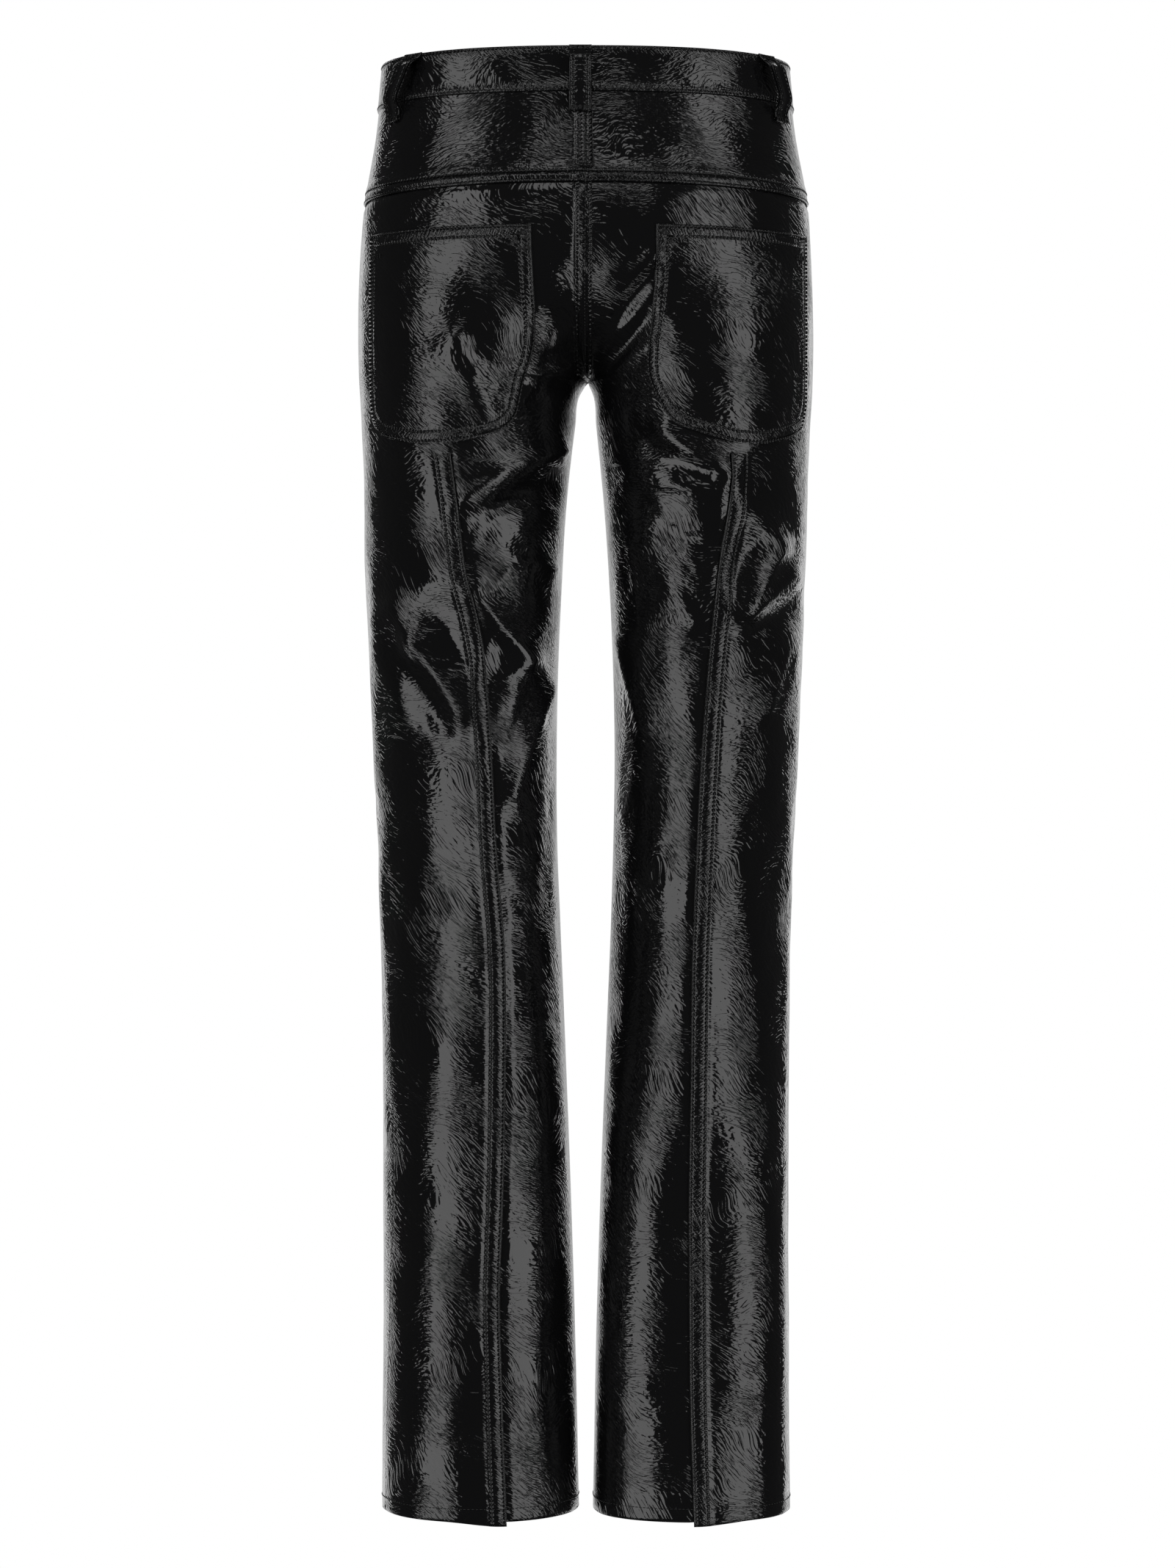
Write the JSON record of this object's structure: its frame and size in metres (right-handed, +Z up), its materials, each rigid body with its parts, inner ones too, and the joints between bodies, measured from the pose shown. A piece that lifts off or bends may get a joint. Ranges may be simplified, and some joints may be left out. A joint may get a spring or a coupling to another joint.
{
  "type": "vinyl trousers",
  "caption": "Straight black patent-vinyl trousers filled out as if worn, with waistband, belt loops, back yokes, patch pockets and vented back-leg seams.",
  "frame": {"origin": "centre of the waist opening, level with the waistband's top edge, where the wearer's waist holds the trousers", "axes": "+Z up towards the wearer's head, +Y towards the wearer's back, +X towards the wearer's left"},
  "size_m": [0.3296, 0.2219, 1.0451],
  "materials": {
    "vinyl": "crinkled black patent vinyl, high gloss",
    "button_metal": "dark polished metal"
  },
  "bodies": {
    "root": {"waistband": "vinyl", "waistband_button": "button_metal", "front_left": "vinyl", "front_right": "vinyl", "back_left": "vinyl", "back_right": "vinyl", "yoke_left": "vinyl", "yoke_right": "vinyl", "back_pocket_left": "vinyl", "back_pocket_right": "vinyl", "belt_loop_centre_back": "vinyl", "belt_loop_back_left": "vinyl", "belt_loop_back_right": "vinyl", "belt_loop_front_left": "vinyl", "belt_loop_front_right": "vinyl"}
  },
  "joints": []
}
